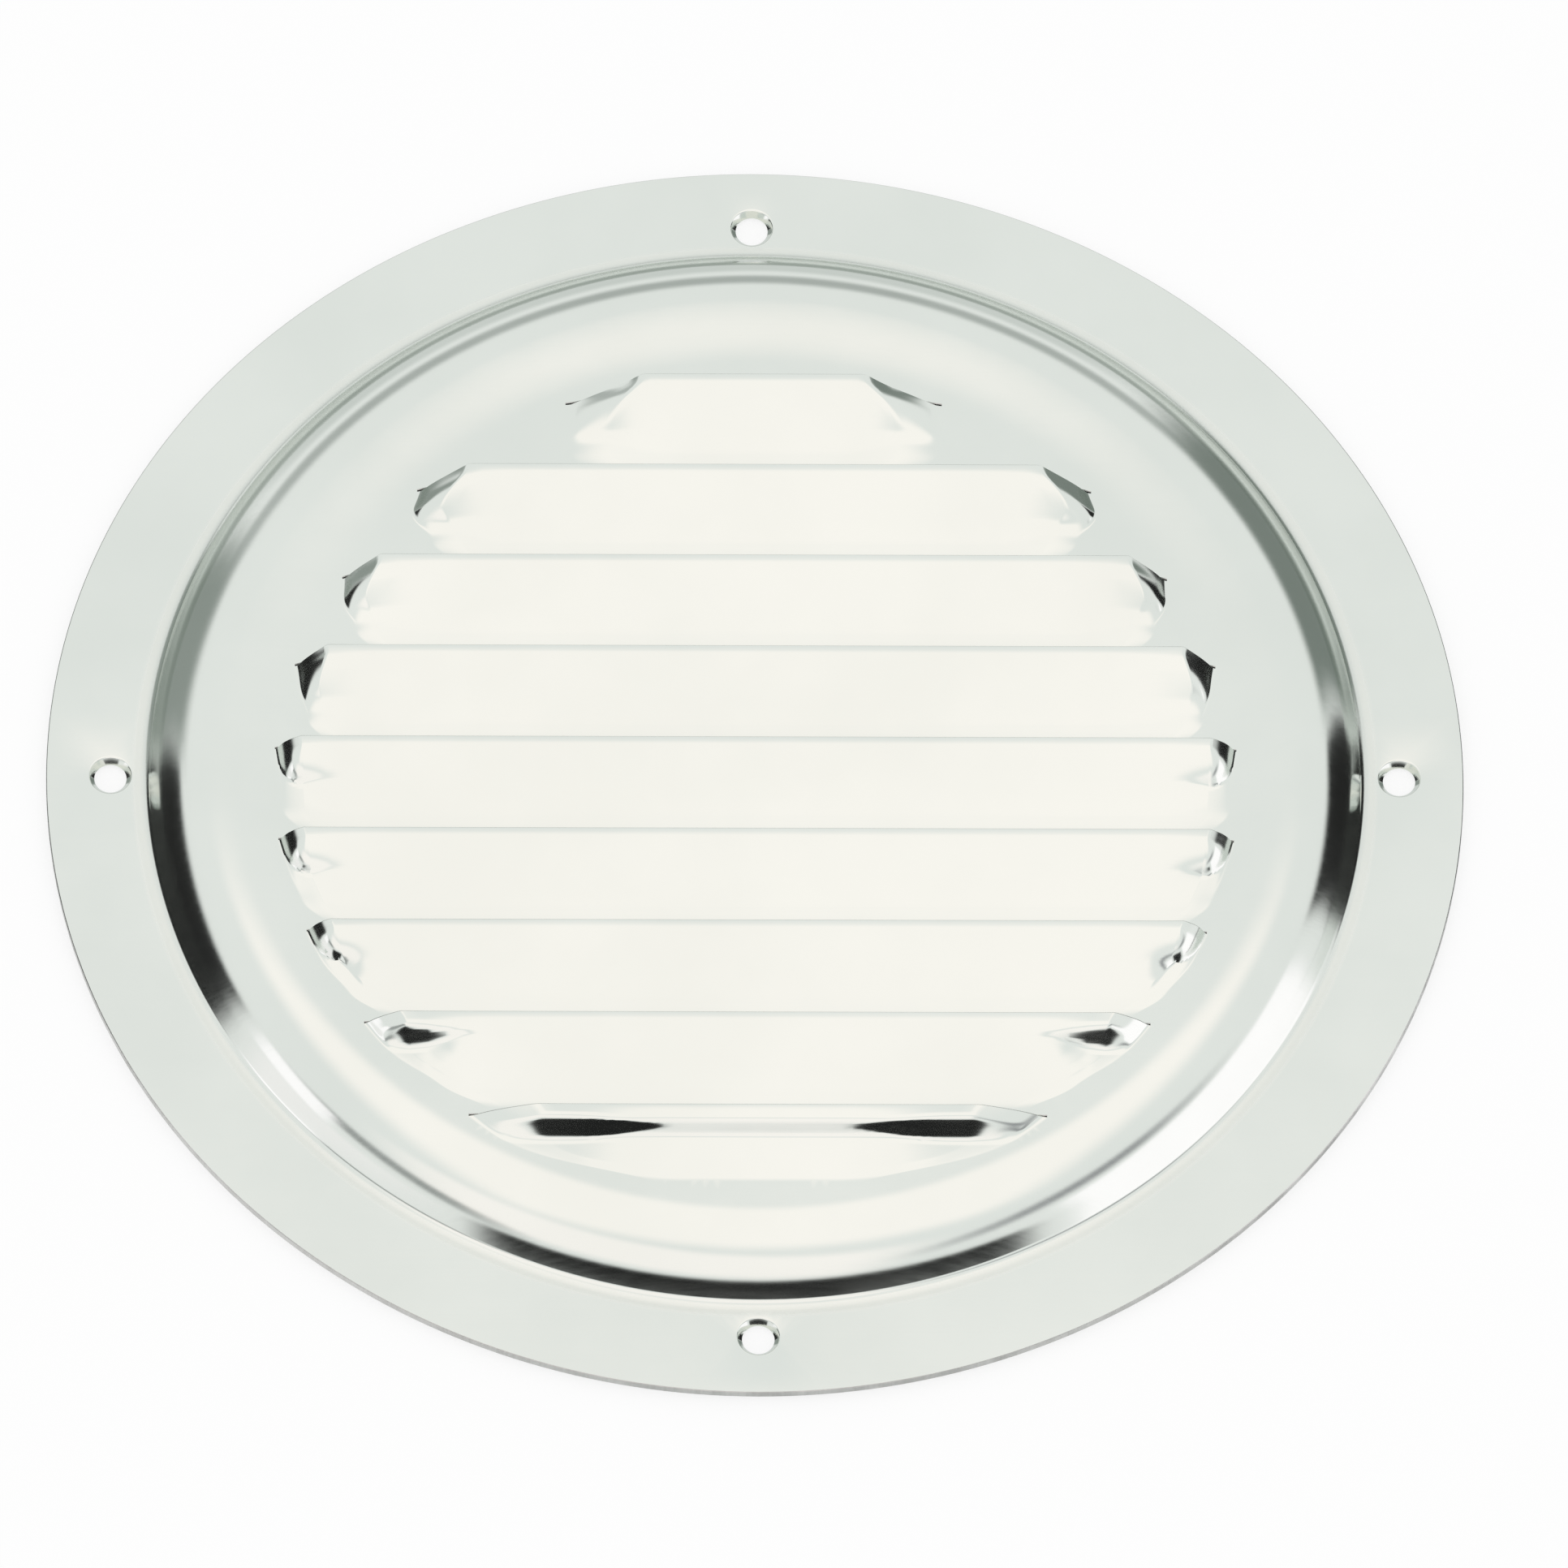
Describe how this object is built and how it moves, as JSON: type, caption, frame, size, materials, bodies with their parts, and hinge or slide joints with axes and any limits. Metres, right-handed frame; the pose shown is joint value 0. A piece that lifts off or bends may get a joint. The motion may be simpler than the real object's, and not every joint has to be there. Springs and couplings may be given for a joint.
{
  "type": "louvred vent cover",
  "caption": "Round louvred vent cover pressed from one polished stainless sheet, with a raised dome, hooded slots and a flat screw flange.",
  "frame": {"origin": "centre of the flange's back face, on the axis of the disc", "axes": "+Z out of the wall along the disc's axis; +Y across the louvre rows, the way the mouths face; +X along the louvres"},
  "size_m": [0.127, 0.127, 0.0078],
  "materials": {
    "polished_stainless": "polished"
  },
  "bodies": {
    "root": {"vent_cover": "polished_stainless"}
  },
  "joints": []
}
